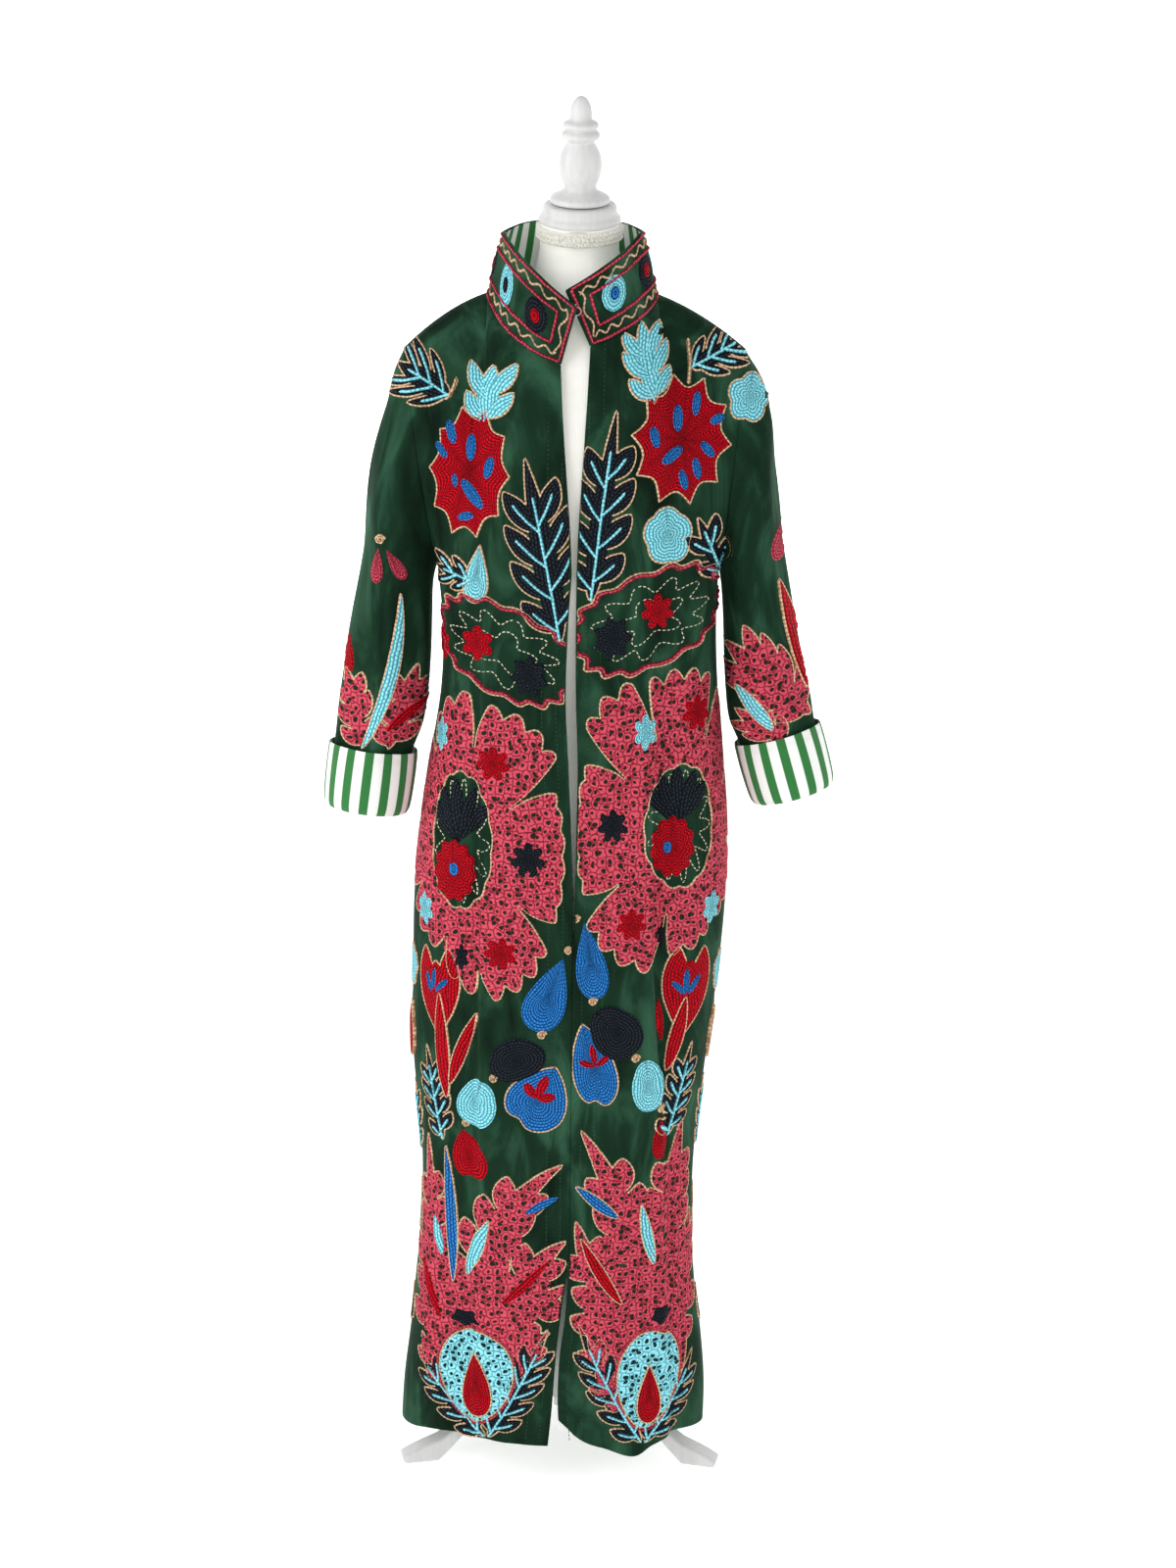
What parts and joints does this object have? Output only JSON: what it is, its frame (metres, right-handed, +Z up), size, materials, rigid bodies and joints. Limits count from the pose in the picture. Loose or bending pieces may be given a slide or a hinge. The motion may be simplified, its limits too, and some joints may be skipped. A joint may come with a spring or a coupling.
{
  "type": "velvet duster coat on a dress form",
  "caption": "Long open velvet duster coat with a hooked stand collar and turned-back cuffs, on a limbless dress form with a footed stand.",
  "frame": {"origin": "middle of the footprint of the whole part, at floor level", "axes": "+Z up, the coat opens towards -Y, the wearer's right side is at -X"},
  "size_m": [0.6032, 0.2538, 1.64],
  "materials": {
    "velvet": "soft cotton velvet with a short pile",
    "stripe": "woven cotton stripe, matt",
    "cream": "plain cotton, matt",
    "white": "white satin paint",
    "steel": "satin wire"
  },
  "bodies": {
    "root": {"front_right": "velvet", "front_left": "velvet", "back": "velvet", "sleeve_right": "velvet", "sleeve_left": "velvet", "cuff_right": "stripe", "cuff_left": "stripe", "collar": "velvet", "collar_lining": "stripe", "collar_hook": "steel", "form_torso": "cream", "neck_trim": "cream", "neck_cap": "white", "finial": "white", "pole": "white", "hub": "white", "leg_right": "white", "leg_left": "white", "leg_back": "white"}
  },
  "joints": []
}
